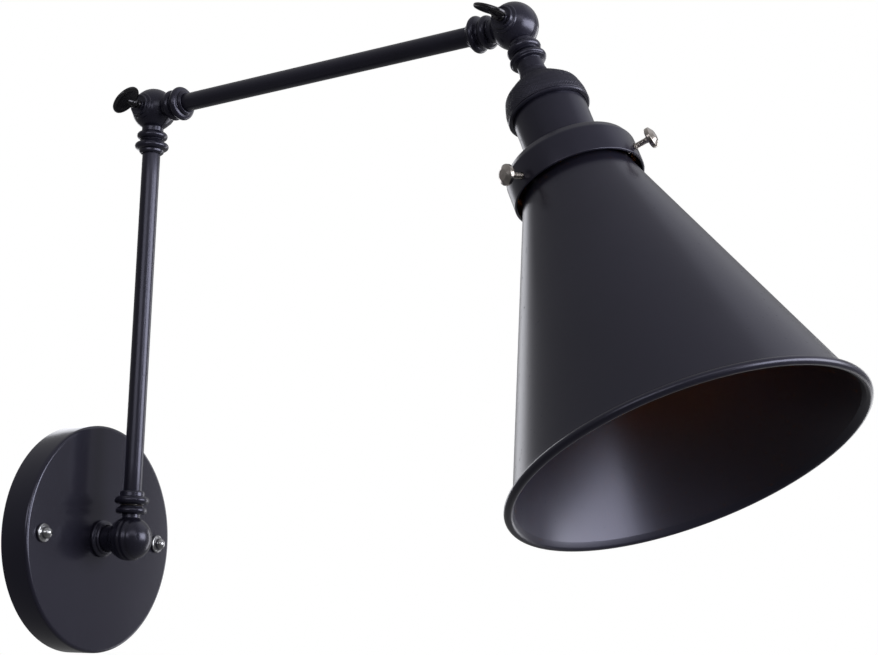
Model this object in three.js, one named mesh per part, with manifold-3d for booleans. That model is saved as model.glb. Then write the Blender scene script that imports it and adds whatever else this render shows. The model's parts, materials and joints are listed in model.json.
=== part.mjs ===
// Swing arm wall sconce: round canopy, two tube arms on ball knuckles, cone shade.
// Millimetres, +Z up, the wall is the plane y = 0 and the lamp reaches out along -Y.
import * as THREE from 'three';
import { mergeVertices } from 'three/addons/utils/BufferGeometryUtils.js';
import Module from 'manifold-3d';

const wasm = await Module();
wasm.setup();

// ---- driving dimensions ----
const running = 0.3;             // gap between neighbouring pieces

const canopyRadius = 61.5;
const canopyDepth = 17;
const canopyWall = 1.2;
const canopyEdge = 2;            // rounding of the front edge
const capScrewX = 49;

const ballRadius = 12;
const ballStandOff = 36;         // wall to the base ball's centre
const armLength = 240;           // ball centre to ball centre, both arms
const tubeRadius = 5;
const tubeBore = 4.3;

const swingAngle = -7;           // whole arm turned about the vertical, degrees
const elbowAngle = 88.5;         // upper arm from straight up, degrees
const headTwist = -4.5;          // head knuckle clocked about the upper arm, degrees
const headAngle = 66;            // shade axis from the upper arm's axis, degrees

const neckRadius = 6;            // knuckle neck under its first ring
const neckBore = 2.6;
const firstRing = 8.5;           // widest radius of a neck's ring
const secondRing = 9.4;          // widest radius of a ferrule's ring
const baseRingAt = 20.5;         // ring centres from the ball's centre
const knuckleRingAt = 21.3;
const neckEnd = 18;              // ball centre to the end of a knuckle's neck
const ferruleStart = neckEnd + running;
const ferruleSeat = 20.3;        // where a tube's end sits inside its ferrule
const ferruleEnd = 25.6;

const pivotRadius = 2;
const pivotBore = pivotRadius + running;
const splitHalf = 0.15;          // half the gap between a knuckle's two halves
const wingStart = 14.9;          // where a wing's collar begins
const neckHover = 0.5;           // a neck's clearance over the other half's ball
const bossRadius = 6;
const bossReach = 12.6;          // wing side
const farBossReach = 11.2;       // nut side

const shadeNeckRadius = 26.8;
const shadeStart = 86;           // all distances along the shade are from the head ball's centre
const shadeConeStart = 96;
const shadeMouth = 242;
const shadeMouthRadius = 81;
const beadRadius = 2;
const shadeWall = 0.8;

const galleryTop = 79;
const galleryEnd = 98.9;
const galleryRadius = 31.7;
const galleryWall = 1.2;
const thumbAngles = [84, 204, 324];
const thumbHeight = 93.5;

const shellRadius = 18;
const fine = 32;                 // segments round the canopy and the shade
const medium = 24;
const coarse = 16;
const tiny = 10;

// ---- finishes ----
const finish = (color, roughness, metalness) => new THREE.MeshStandardMaterial({ color, roughness, metalness });
const satinBlack = finish(0x2b2b31, 0.42, 0.3);
const nickel = finish(0xa49c98, 0.25, 1);
const darkNickel = finish(0x4a4a50, 0.28, 1);
const zincSteel = finish(0x9a9a96, 0.45, 1);
const brassFinish = finish(0xb08d4a, 0.35, 1);
const greenScrew = finish(0x2f6a3c, 0.45, 0.6);
const fibre = finish(0x6e5a45, 0.8, 0);
const porcelain = finish(0xe6e2d8, 0.35, 0);
const flexBlack = finish(0x161618, 0.6, 0);
const clearGlass = finish(0xf2efe6, 0.05, 0);
const filamentAmber = finish(0xffb560, 0.5, 0);

// ---- solids ----
const rad = THREE.MathUtils.degToRad;

// A closed geometry as a manifold solid, with its faces pointing out.
function solid(geometry) {
  const bare = geometry.index ? geometry.clone() : geometry;
  bare.deleteAttribute('normal');
  bare.deleteAttribute('uv');
  const merged = mergeVertices(bare, 1e-4);
  const points = merged.attributes.position.array;
  const corner = (i) => new THREE.Vector3().fromArray(points, 3 * i);
  const faces = [];
  let volume = 0;
  for (let i = 0; i < merged.index.count; i += 3) {
    const [a, b, c] = [0, 1, 2].map((k) => merged.index.getX(i + k));
    if (a === b || b === c || c === a) continue;
    faces.push([a, b, c]);
    volume += corner(a).dot(corner(b).cross(corner(c)));
  }
  const triVerts = faces.flatMap(([a, b, c]) => (volume > 0 ? [a, b, c] : [a, c, b]));
  return new wasm.Manifold(new wasm.Mesh({
    numProp: 3,
    vertProperties: new Float32Array(points),
    triVerts: new Uint32Array(triVerts),
  }));
}

function geometryOf(body) {
  const mesh = body.getMesh();
  const geometry = new THREE.BufferGeometry();
  geometry.setAttribute('position', new THREE.BufferAttribute(new Float32Array(mesh.vertProperties), 3));
  geometry.setIndex(new THREE.BufferAttribute(new Uint32Array(mesh.triVerts), 1));
  geometry.computeVertexNormals();
  return geometry;
}

// A body of revolution about Z from [radius, z] points, closed on itself or on the axis.
function turned(points, segments = coarse) {
  const onAxis = points[0][0] === 0;
  const outline = points.map(([r, z]) => new THREE.Vector2(r, z));
  if (!onAxis) outline.push(outline[0].clone());
  return solid(new THREE.LatheGeometry(outline, segments).rotateX(Math.PI / 2));
}

const ring = (inner, outer, low, high, segments = coarse) => turned(
  [[inner, low], [outer, low], [outer, high], [inner, high]],
  segments,
);

const rod = (radius, low, high, segments = coarse) => turned(
  [[0, low], [radius, low], [radius, high], [0, high]],
  segments,
);

// Points of an arc about a centre in the [radius, z] plane, angles in degrees from the radius.
function arc(centreRadius, centreZ, radius, from, to, steps) {
  const points = [];
  for (let i = 0; i <= steps; i += 1) {
    const angle = rad(from + ((to - from) * i) / steps);
    points.push([centreRadius + radius * Math.cos(angle), centreZ + radius * Math.sin(angle)]);
  }
  return points;
}

function ball(radius, segments = medium) {
  const outline = arc(0, 0, radius, -90, 90, segments / 2);
  outline[0][0] = 0;
  outline[outline.length - 1][0] = 0;
  return turned(outline, segments);
}

function block(size, centre) {
  return solid(new THREE.BoxGeometry(...size).translate(...centre));
}

// A Z-axis body laid along X, its +Z end towards +X.
const alongX = (body) => body.rotate([0, 90, 0]);

function place(name, body, material, parent) {
  const mesh = new THREE.Mesh(geometryOf(body), material);
  mesh.name = name;
  parent.add(mesh);
  return mesh;
}

function frameIn(parent, position = [0, 0, 0], rotation = [0, 0, 0]) {
  const group = new THREE.Group();
  group.position.set(...position);
  group.rotation.set(...rotation.map(rad));
  parent.add(group);
  return group;
}

// ---- wall side ----
function wallCrossbar() {
  const halfLength = 54;
  const halfHeight = 10;
  const thickness = 2;
  const slotX = 34.9;
  const slotHalf = 6;
  const slotRadius = 2.4;
  const bar = new THREE.Shape();
  bar.moveTo(-halfLength + 4, -halfHeight);
  bar.lineTo(halfLength - 4, -halfHeight);
  bar.lineTo(halfLength, -halfHeight + 4);
  bar.lineTo(halfLength, halfHeight - 4);
  bar.lineTo(halfLength - 4, halfHeight);
  bar.lineTo(-halfLength + 4, halfHeight);
  bar.lineTo(-halfLength, halfHeight - 4);
  bar.lineTo(-halfLength, -halfHeight + 4);
  bar.closePath();
  const round = (x, radius) => bar.holes.push(new THREE.Path().absarc(x, 0, radius, 0, 2 * Math.PI, true));
  round(0, 5.6);
  round(-capScrewX, 2.3);
  round(capScrewX, 2.3);
  round(-18, 1.9);
  for (const side of [-1, 1]) {
    const slot = new THREE.Path();
    slot.absarc(side * slotX + slotHalf - slotRadius, 0, slotRadius, -Math.PI / 2, Math.PI / 2, false);
    slot.absarc(side * slotX - slotHalf + slotRadius, 0, slotRadius, Math.PI / 2, 1.5 * Math.PI, false);
    slot.closePath();
    bar.holes.push(slot);
  }
  return solid(new THREE.ExtrudeGeometry(bar, { depth: thickness, bevelEnabled: false, curveSegments: 4 }));
}

function canopyShell() {
  const outer = arc(canopyRadius - canopyEdge, canopyDepth - canopyEdge, canopyEdge, 0, 90, 3);
  const inner = canopyRadius - canopyWall;
  const floor = canopyDepth - canopyWall;
  const shell = turned([
    [0, floor], [inner - 0.8, floor], [inner, floor - 0.8], [inner, 0], [canopyRadius, 0], ...outer, [0, canopyDepth],
  ], fine);
  const screwHole = rod(2.3, floor - 1, canopyDepth + 1, tiny);
  return shell
    .subtract(rod(5.3, floor - 1, canopyDepth + 1, coarse))
    .subtract(screwHole.translate([capScrewX, 0, 0]))
    .subtract(screwHole.translate([-capScrewX, 0, 0]));
}

// Domed canopy screw: shank through canopy and crossbar, flange, groove and dome.
function capScrew() {
  const seat = canopyDepth + running;
  return turned([
    [0, 0.3], [2, 0.3], [2, seat], [4.8, seat], [4.9, seat + 0.9], [4.2, seat + 1.5], [3.2, seat + 1.6],
    ...arc(0, seat + 2.1, 3.3, 0, 60, 2), [0, seat + 5.4],
  ], tiny);
}

function hexNut(acrossFlats, bore, low, high) {
  const corner = acrossFlats / Math.sqrt(3);
  return rod(corner, low, high, 6).subtract(rod(bore, low - 1, high + 1, coarse));
}

// Ball with a side neck towards the wall and a ringed neck towards the arm, hollow for the lead.
function baseBall() {
  const sideEnd = ballStandOff - canopyDepth - running;
  const towardsWall = (body) => body.rotate([-90, 0, 0]);
  return ball(ballRadius)
    .add(towardsWall(rod(7, 6, sideEnd)))
    .add(turned(neckOutline(4.9, 17.3, 1.8)))
    .subtract(towardsWall(rod(5.3, 11, sideEnd + 1)))
    .subtract(towardsWall(rod(3, 3, 12)))
    .subtract(ball(5.5, tiny))
    .subtract(rod(3.6, 3, 19));
}

// Outline of a knuckle's neck with its ring, from inside the ball to the neck's end.
function neckOutline(radius, end, ringHalf) {
  const ringCentre = end - ringHalf - 0.5;
  const foot = 8;
  const lip = 6.6;
  return [
    [0, foot], [radius, foot], [radius, ringCentre - ringHalf - 0.2],
    ...arc(firstRing - ringHalf, ringCentre, ringHalf, -75, 75, 3),
    [lip, end - 0.3], [lip, end], [0, end],
  ];
}

// Ferrule with the second ring: it starts against a knuckle's neck and holds a tube.
function ferrule(ringCentre) {
  const leadBore = 3.6;
  const ringHalf = 2;
  const lip = 6.6;
  return turned([
    [leadBore, ferruleStart], [lip, ferruleStart],
    ...arc(secondRing - ringHalf, ringCentre, ringHalf, -75, 70, 3),
    [lip, ferruleEnd - 1.9], [lip - 0.1, ferruleEnd - 0.5], [5.9, ferruleEnd],
    [tubeRadius + running, ferruleEnd], [tubeRadius + running, ferruleSeat - running], [leadBore, ferruleSeat - running],
  ]);
}

const armTube = () => ring(tubeBore, tubeRadius, ferruleSeat, armLength - ferruleSeat);
const armLead = (low) => rod(1.8, low, armLength - 14, 12);

// Half of a ball knuckle. side is -1 or 1 along the pivot, and the neck points along +Z.
function knuckleHalf(side) {
  const wide = 40;
  const ownSide = block([wide, wide, wide], [side * (wide / 2 + splitHalf), 0, 0]);
  const otherSide = block([wide, wide, wide], [-side * (wide / 2 - splitHalf), 0, 0]);
  const chamber = alongX(ring(3.8, 9.2, -4, 4));
  const washerSeat = alongX(rod(4.2, -0.65, 0.65));
  const reach = side > 0 ? farBossReach : bossReach;
  const outwards = (body) => alongX(body).rotate([0, 0, side > 0 ? 0 : 180]);
  const boss = outwards(rod(bossRadius, 8, reach));
  const facing = outwards(rod(bossRadius + 1, reach, reach + 4));
  const leadHole = rod(2.2, 6, neckEnd - 4, 12).translate([side * 3, 0, 0]);
  const neck = turned(neckOutline(neckRadius, neckEnd, 2.2))
    .subtract(ball(ballRadius + neckHover).intersect(otherSide));
  return ball(ballRadius)
    .intersect(ownSide)
    .add(neck)
    .add(boss)
    .subtract(facing)
    .subtract(chamber.intersect(ownSide))
    .subtract(washerSeat.intersect(ownSide))
    .subtract(alongX(rod(pivotBore, -20, 20, tiny)))
    .subtract(leadHole.intersect(ownSide))
    .subtract(rod(neckBore, 12.6, neckEnd + 1, tiny));
}

const pivotWasher = () => alongX(ring(pivotBore, 3.7, -0.35, 0.35));

// Wing of a pivot: pointed oval plate in the plane of the stud, with the collar that holds the stud.
function wing(plateAngle) {
  const plateCentre = -22.2;
  const halfLength = 9;
  const halfWidth = 6.4;
  const halfThickness = 0.9;
  const belly = halfWidth * 1.12;
  const oval = new THREE.Shape();
  oval.moveTo(0, halfLength);
  for (const [x, y] of [[1, 1], [1, -1], [-1, -1], [-1, 1]]) {
    const [tipX, tipY] = [belly * x, (halfLength - 1.6) * y];
    const [sideX, sideY] = [belly * x, 2.6 * y];
    if (x * y > 0) oval.bezierCurveTo(tipX * 0.6, tipY, sideX, sideY, halfWidth * x, 0);
    else oval.bezierCurveTo(sideX, sideY, tipX * 0.6, tipY, 0, halfLength * y);
  }
  const plate = solid(new THREE.ExtrudeGeometry(oval, {
    depth: 2 * halfThickness,
    bevelEnabled: false,
    curveSegments: 6,
  }))
    .translate([0, 0, -halfThickness])
    .rotate([90, 0, 0])
    .translate([plateCentre, 0, 0]);
  return plate
    .rotate([plateAngle, 0, 0])
    .add(alongX(rod(2.9, plateCentre + 3.2, -wingStart, tiny)));
}

// Threaded stud through both halves of a knuckle.
const pivotStud = () => alongX(rod(pivotRadius, -(wingStart - running), 13.2, tiny));

// Domed nut that closes the far end of a pivot.
function pivotNut() {
  const seat = farBossReach + running;
  const corner = 4.4;
  return alongX(turned([[0, seat], [corner, seat], [corner, seat + 2], [3.2, seat + 2.9], [0, seat + 3.2]], 6)
    .subtract(rod(pivotBore, seat - 1, seat + 2.1, tiny)));
}

// ---- head ----
function headNeck() {
  return turned([
    [3, ferruleStart], [6.4, ferruleStart], [7.4, ferruleStart + 0.5], ...arc(secondRing - 1.4, 21.4, 1.4, -60, 60, 2),
    [8.2, 23.3], [6.5, 23.6], [6.5, 29.4], [3, 29.4],
  ]);
}

const capEnd = 54.6;

function socketCap() {
  const outside = [
    [6.9, 29.7], [7.3, 32.2], [9.4, 34.6], [13.2, 37.6], [16.6, 40.6], [18.9, 43.8], [20, 47.2], [20.2, 50], [20, 53.8],
    [19.5, capEnd],
  ];
  const inside = [
    [shellRadius + running, capEnd], [shellRadius + running, 46.4], [16.4, 43], [12, 39.2], [8, 36.2], [3.2, 34.4],
    [3.2, 29.7],
  ];
  return turned([...outside, ...inside], medium);
}

const socketShell = () => ring(shellRadius - 0.9, shellRadius, 46.8, 86, medium);

function lampholder() {
  return turned([
    [0, 47.5], [16.6, 47.5], [16.6, 84], [14.9, 84], [14.9, 57], [0, 57],
  ], coarse).subtract(rod(2.2, 46, 58, 12));
}

const screwShell = () => ring(13.8, 14.4, 57.6, 83);
const centreContact = () => turned([[0, 50], [1.8, 50], [1.8, 57.4], [5, 57.4], [5, 58], [0, 58.8]], tiny);

function gallery() {
  const inner = galleryRadius - galleryWall;
  const shoulder = arc(galleryRadius - 3.2, 85.4, 3.2, -72, 0, 2);
  const body = turned([
    [shellRadius + running, galleryTop], ...shoulder, [galleryRadius, galleryEnd],
    [inner, galleryEnd], [inner, 86], [inner - 2.4, 83.8], [shellRadius + running, galleryTop + galleryWall],
  ], medium);
  const hole = alongX(rod(1.8, 25, 36, 12)).translate([0, 0, thumbHeight]);
  return thumbAngles.reduce((left, angle) => left.subtract(hole.rotate([0, 0, angle])), body);
}

const galleryRing = () => ring(shellRadius + running, 22.5, 81.9, 84.6, medium);

function shade() {
  const rise = shadeMouth - shadeConeStart;
  const slope = (shadeMouthRadius - beadRadius + 0.4 - shadeNeckRadius) / rise;
  const coneAt = (s) => shadeNeckRadius + slope * (s - shadeConeStart);
  const beadLow = shadeMouth - 1.4;
  return turned([
    [shadeNeckRadius - shadeWall, shadeStart], [shadeNeckRadius + 1.4, shadeStart],
    [shadeNeckRadius + 1.4, shadeStart + 1.4], [shadeNeckRadius, shadeStart + 2.2],
    [shadeNeckRadius, shadeConeStart], [coneAt(beadLow - 0.6), beadLow - 0.6],
    ...arc(shadeMouthRadius, shadeMouth, beadRadius, -120, 140, 5),
    [coneAt(beadLow) - shadeWall, beadLow], [shadeNeckRadius - shadeWall, shadeConeStart + 0.4],
  ], fine);
}

// Thumbscrew along +X: tip against the shade's neck, shank through the gallery, round head outside.
function thumbscrew() {
  const tip = shadeNeckRadius + 0.35;
  const head = 38.8;
  return alongX(turned([
    [0, tip], [1.4, tip], [1.4, head], [2, head], [4.6, head + 0.9], [5, head + 1.8], [4.6, head + 2.9],
    [2.4, head + 3.8], [0, head + 4.1],
  ], tiny)).translate([0, 0, thumbHeight]);
}

const bulbTip = 59.2;

function bulbBase() {
  return turned([
    [0, bulbTip], [4, bulbTip], [4.6, 61.4], [12, 62.6], [13.2, 64.4], [13.2, 85], [12.2, 85], [12.2, 66], [0, 66],
  ], coarse);
}

function bulbGlass() {
  const wall = 0.9;
  const crown = (radius) => arc(0, 132.5, radius, 0, 75, 4);
  const outside = [[12, 85.6], [13.6, 93], [17.5, 102], [23.4, 112.5], [27.6, 122.5]];
  return turned([
    [10.7, 67], [11.6, 67], ...outside, ...crown(30), [0, 162.5],
    [0, 162.5 - wall], ...crown(30 - wall).reverse(), ...outside.map(([r, z]) => [r - wall, z]).reverse(),
  ], coarse);
}

const bulbStem = () => turned([[0, 68], [7, 68], [6, 74], [3, 84], [2.6, 100], [4.6, 104], [4.6, 128], [0, 130]], 12);

// ---- assembly ----
const sconce = new THREE.Group();

const outward = frameIn(sconce, [0, 0, 0], [90, 0, 0]);
place('wall_crossbar', wallCrossbar(), zincSteel, outward);
place('canopy', canopyShell(), satinBlack, outward);
place('canopy_screw_left', capScrew().translate([-capScrewX, 0, 0]), darkNickel, outward);
place('canopy_screw_right', capScrew().translate([capScrewX, 0, 0]), darkNickel, outward);
place('ground_screw', turned([
  [0, 0.3], [1.6, 0.3], [1.6, 2.3], [3.4, 2.3], [3.4, 3.6], [2.4, 4.4], [0, 4.6],
], tiny).translate([-18, 0, 0]), greenScrew, outward);
place('mounting_nipple', ring(3.2, 5, 8, 24.6), zincSteel, outward);
place('nipple_nut', hexNut(14, 5.3, 11.6, 14.4), zincSteel, outward);
place('nipple_washer', ring(5.3, 9, 14.7, 15.5), zincSteel, outward);
place('base_collar', turned([
  [7.3, canopyDepth + running], [10, canopyDepth + running], [10.2, 18.4], [9.6, 19.4], [8.7, 19.6], [8.9, 20.4],
  [8.2, 21.1], [7.3, 21.2],
]), satinBlack, outward);

const base = frameIn(sconce, [0, -ballStandOff, 0]);
place('base_ball', baseBall(), satinBlack, base);
place('swivel_stud', turned([
  [2.1, 6.6], [3.3, 6.6], [3.3, 20.2], [2.75, 20.2], [2.75, 21.6], [3.3, 21.6], [3.3, 24], [2.1, 24],
]), zincSteel, base);
place('swivel_washer', ring(3.7, 6, 17.6, 18), fibre, base);
place('swivel_clip', ring(3.05, 4, 20.5, 21.3), zincSteel, base);

const leadPath = new THREE.CatmullRomCurve3([
  [0, 31, 0], [0, 18, 0], [0, 6, 0], [0, 1.2, 1.2], [0, 0, 6], [0, 0, 12], [0, 0, 23],
].map((point) => new THREE.Vector3(...point)));
const leadSection = new THREE.Shape().absarc(0, 0, 1.7, 0, 2 * Math.PI, false);
place('base_lead', solid(new THREE.ExtrudeGeometry(leadSection, {
  steps: 14,
  curveSegments: 4,
  extrudePath: leadPath,
})), flexBlack, base);

const swing = frameIn(base, [0, 0, 0], [0, 0, swingAngle]);
place('lower_arm_base_ferrule', ferrule(baseRingAt), satinBlack, swing);
place('lower_arm_tube', armTube(), satinBlack, swing);
place('lower_arm_lead', armLead(25), flexBlack, swing);
const lowerEnd = frameIn(swing, [0, 0, armLength], [180, 0, 0]);
place('lower_arm_elbow_ferrule', ferrule(knuckleRingAt), satinBlack, lowerEnd);
place('elbow_outer_half', knuckleHalf(-1), satinBlack, lowerEnd);

const elbow = frameIn(swing, [0, 0, armLength]);
place('elbow_washer', pivotWasher(), fibre, elbow);
place('elbow_wing', wing(49), darkNickel, elbow);
place('elbow_stud', pivotStud(), darkNickel, elbow);

const upperArm = frameIn(elbow, [0, 0, 0], [elbowAngle, 0, 0]);
place('elbow_inner_half', knuckleHalf(1), satinBlack, upperArm);
place('elbow_nut', pivotNut(), darkNickel, upperArm);
place('upper_arm_elbow_ferrule', ferrule(knuckleRingAt), satinBlack, upperArm);
place('upper_arm_tube', armTube(), satinBlack, upperArm);
place('upper_arm_lead', armLead(14), flexBlack, upperArm);

const headEnd = frameIn(upperArm, [0, 0, armLength], [0, 0, headTwist]);
const upperEnd = frameIn(headEnd, [0, 0, 0], [180, 0, 0]);
place('upper_arm_head_ferrule', ferrule(knuckleRingAt), satinBlack, upperEnd);
place('head_outer_half', knuckleHalf(-1), satinBlack, upperEnd);
place('head_washer', pivotWasher(), fibre, headEnd);
place('head_wing', wing(110 - elbowAngle), darkNickel, headEnd);
place('head_stud', pivotStud(), darkNickel, headEnd);

const head = frameIn(headEnd, [0, 0, 0], [headAngle, 0, 0]);
place('head_inner_half', knuckleHalf(1), satinBlack, head);
place('head_nut', pivotNut(), darkNickel, head);
place('head_neck', headNeck(), satinBlack, head);
place('head_lead', rod(1.8, 14, 45, 12), flexBlack, head);
place('socket_cap', socketCap(), satinBlack, head);
place('socket_shell', socketShell(), satinBlack, head);
place('lampholder', lampholder(), porcelain, head);
place('screw_shell', screwShell(), brassFinish, head);
place('centre_contact', centreContact(), brassFinish, head);
place('gallery', gallery(), satinBlack, head);
place('gallery_ring', galleryRing(), zincSteel, head);
place('shade', shade(), satinBlack, head);
thumbAngles.forEach((angle, i) => {
  place(`thumbscrew_${i + 1}`, thumbscrew().rotate([0, 0, angle]), nickel, head);
});
place('bulb_base', bulbBase(), brassFinish, head);
place('bulb_glass', bulbGlass(), clearGlass, head);
place('bulb_stem', bulbStem(), filamentAmber, head);

export default sconce;
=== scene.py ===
import json
import math
import bmesh
import bpy
from mathutils import Matrix, Vector


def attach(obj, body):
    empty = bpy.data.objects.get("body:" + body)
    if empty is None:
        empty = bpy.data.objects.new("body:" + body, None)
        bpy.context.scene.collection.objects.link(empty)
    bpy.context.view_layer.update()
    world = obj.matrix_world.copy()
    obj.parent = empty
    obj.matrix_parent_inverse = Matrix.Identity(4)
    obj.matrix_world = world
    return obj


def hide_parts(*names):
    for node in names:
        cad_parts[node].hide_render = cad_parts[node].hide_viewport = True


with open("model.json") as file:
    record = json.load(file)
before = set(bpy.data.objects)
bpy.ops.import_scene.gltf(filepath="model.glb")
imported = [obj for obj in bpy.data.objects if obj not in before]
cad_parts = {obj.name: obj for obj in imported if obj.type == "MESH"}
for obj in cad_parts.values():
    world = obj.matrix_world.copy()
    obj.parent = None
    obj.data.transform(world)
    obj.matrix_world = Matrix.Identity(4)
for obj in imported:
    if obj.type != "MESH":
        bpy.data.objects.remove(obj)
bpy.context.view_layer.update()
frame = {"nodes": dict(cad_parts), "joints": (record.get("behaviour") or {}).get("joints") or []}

mm = 0.001
joints = {joint["name"]: joint for joint in frame["joints"]}


def axesAt(origin, along, across):
    # a local frame whose Z runs along a piece and whose X lies along its pivot
    z = Vector(along).normalized()
    x = Vector(across)
    x = (x - z * x.dot(z)).normalized()
    y = z.cross(x)
    turnTo = Matrix((x, y, z)).transposed().to_4x4()
    return Matrix.Translation(Vector(origin)) @ turnTo


def jointPlace(name):
    return Vector(joints[name]["pos_m"])


def jointAxis(name):
    return Vector(joints[name]["axis"])


baseCentre = jointPlace("arm_swing")
elbowCentre = jointPlace("elbow_tilt")
headCentre = jointPlace("head_tilt")
screwCentre = jointPlace("shade_screw_1_turn")
elbowPivot = -jointAxis("elbow_tilt")
headPivot = -jointAxis("head_tilt")
reach = (headCentre - elbowCentre).normalized()
shadeAxis = (screwCentre - headCentre).normalized()
armSpan = (headCentre - elbowCentre).length / mm  # ball centre to ball centre

wallFrame = axesAt((0, 0, 0), (0, -1, 0), (1, 0, 0))
baseFrame = axesAt(baseCentre, (0, 0, 1), (1, 0, 0))
swingFrame = axesAt(baseCentre, (0, 0, 1), elbowPivot)
lowerEndFrame = axesAt(elbowCentre, (0, 0, -1), elbowPivot)
upperArmFrame = axesAt(elbowCentre, reach, elbowPivot)
upperEndFrame = axesAt(headCentre, -reach, headPivot)
headFrame = axesAt(headCentre, shadeAxis, headPivot)
elbowPivotFrame = axesAt(elbowCentre, -elbowPivot, (0, 0, 1))
headPivotFrame = axesAt(headCentre, -headPivot, (0, 0, 1))
elbowNutFrame = axesAt(elbowCentre, elbowPivot, (0, 0, 1))
headNutFrame = axesAt(headCentre, headPivot, (0, 0, 1))


class Wire:
    # a node socket that does arithmetic with numbers and other sockets
    def __init__(self, tree, socket):
        self.tree = tree
        self.socket = socket

    def sum(self, operation, first, second):
        node = self.tree.nodes.new("ShaderNodeMath")
        node.operation = operation
        feed(self.tree, node.inputs[0], first)
        feed(self.tree, node.inputs[1], second)
        return Wire(self.tree, node.outputs[0])

    def __add__(self, other):
        return self.sum("ADD", self, other)

    def __radd__(self, other):
        return self.sum("ADD", other, self)

    def __rsub__(self, other):
        return self.sum("SUBTRACT", other, self)

    def __mul__(self, other):
        return self.sum("MULTIPLY", self, other)

    def __pow__(self, other):
        return self.sum("POWER", self, other)


def feed(tree, target, value):
    if isinstance(value, Wire):
        tree.links.new(value.socket, target)
    elif isinstance(value, (tuple, list)) and len(value) == 3 and target.type == "RGBA":
        target.default_value = (*value, 1)
    else:
        target.default_value = value


class NodeSheet:
    # a node tree and the one method that adds to it
    def __init__(self, tree):
        self.tree = tree

    def node(self, kind, settings=None, output=0, sockets=None, **values):
        made = self.tree.nodes.new("ShaderNode" + kind)
        for words, value in (settings or {}).items():
            if words == "stops":
                ramp = made.color_ramp.elements
                while len(ramp) < len(value):
                    ramp.new(0.5)
                for stop, (position, shade) in zip(ramp, value):
                    stop.position = position
                    stop.color = (shade, shade, shade, 1)
            else:
                setattr(made, words, value)
        named = {words.replace("_", " "): value for words, value in values.items()}
        for label, value in {**named, **(sockets or {})}.items():
            feed(self.tree, made.inputs[label], value)
        return Wire(self.tree, made.outputs[output])


class Finish(NodeSheet):
    # one material: its Principled shader and the nodes that feed it
    def __init__(self, name, **constants):
        self.material = bpy.data.materials.new(name)
        self.material.use_nodes = True
        super().__init__(self.material.node_tree)
        self.shader = self.tree.nodes["Principled BSDF"]
        self.set(**constants)

    def set(self, **values):
        for words, value in values.items():
            label = "".join(" " + c if c.isupper() else c for c in words).strip().title()
            label = {"Ior": "IOR", "Specular Level": "Specular IOR Level"}.get(label, label)
            feed(self.tree, self.shader.inputs[label], value)

    def mix(self, amount, low, high):
        # factor and the two colours; a Mix node repeats its socket names, so they go by number
        return self.node("Mix", {"data_type": "RGBA"}, 2, {0: amount, 6: low, 7: high})

    def onPiece(self, scale=(1, 1, 1)):
        place = self.node("TexCoord", output=3)
        return self.node("Mapping", Vector=place, Scale=scale)

    def noise(self, scale, detail=3, roughness=0.55, stretch=(1, 1, 1)):
        place = self.onPiece(stretch)
        return self.node("TexNoise", Vector=place, Scale=scale, Detail=detail, Roughness=roughness)

    def ramp(self, value, *stops):
        return self.node("ValToRGB", {"stops": stops}, Fac=value)

    def bump(self, height, strength, distance):
        self.set(normal=self.node("Bump", Height=height, Strength=strength, Distance=distance))


satinBlackLook = dict(deep=(0.0118, 0.0112, 0.0190), pale=(0.0182, 0.0172, 0.0290), rough=0.25,
                      roughSwing=0.08, cloudScale=9, peelScale=950, peelStrength=0.10, speckScale=420,
                      sheenTint=(0.78, 0.77, 1.0), speckRough=0.14)


def satinBlackPaint(name, look=satinBlackLook, sheen=1.0):
    # powder coat: slow clouds of tone, orange peel and a few dull specks
    paint = Finish(name, specularLevel=0.66, specularTint=look["sheenTint"], coatRoughness=0.22)
    cloud = paint.noise(look["cloudScale"], detail=5)
    peel = paint.noise(look["peelScale"], detail=2, roughness=0.4)
    speck = paint.ramp(paint.noise(look["speckScale"], detail=1), (0.70, 0), (0.76, 1))
    paint.set(baseColor=paint.mix(paint.ramp(cloud, (0.3, 0), (0.7, 1)), look["deep"], look["pale"]))
    paint.set(roughness=(look["rough"] + cloud * look["roughSwing"] + speck * look["speckRough"]) * sheen)
    paint.set(coatWeight=paint.ramp(cloud, (0.2, 0.03), (0.8, 0.09)))
    paint.bump(peel + speck * 0.3, look["peelStrength"], 0.00012)
    return paint.material


blackNickelLook = dict(deep=(0.055, 0.054, 0.060), pale=(0.125, 0.122, 0.130), rough=0.20, grainScale=700)


def platedMetal(name, look, stretch=(1, 1, 1)):
    # polished plate: faint polishing grain and cloudy tone
    plate = Finish(name, metallic=1.0, specularLevel=0.5)
    cloud = plate.noise(60, detail=4)
    grain = plate.noise(look["grainScale"], detail=3, stretch=stretch)
    plate.set(baseColor=plate.mix(plate.ramp(cloud, (0.3, 0), (0.7, 1)), look["deep"], look["pale"]))
    plate.set(roughness=look["rough"] + cloud * 0.10 + grain * 0.05)
    plate.bump(grain, 0.06, 0.00005)
    return plate.material


nickelLook = dict(deep=(0.36, 0.32, 0.30), pale=(0.62, 0.57, 0.54), rough=0.16, grainScale=900)
brightLook = dict(deep=(0.34, 0.34, 0.36), pale=(0.58, 0.58, 0.60), rough=0.10, grainScale=900)
zincLook = dict(deep=(0.38, 0.39, 0.40), pale=(0.60, 0.60, 0.58), rough=0.34, grainScale=500)
brassLook = dict(deep=(0.48, 0.32, 0.11), pale=(0.70, 0.52, 0.24), rough=0.26, grainScale=600)


def groundScrewGreen():
    green = Finish("ground_green", coatWeight=0.3, coatRoughness=0.2)
    cloud = green.noise(300, detail=3)
    green.set(baseColor=green.mix(cloud, (0.012, 0.10, 0.030), (0.030, 0.20, 0.062)))
    green.set(roughness=0.32 + cloud * 0.2)
    green.bump(cloud, 0.08, 0.00005)
    return green.material


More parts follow.
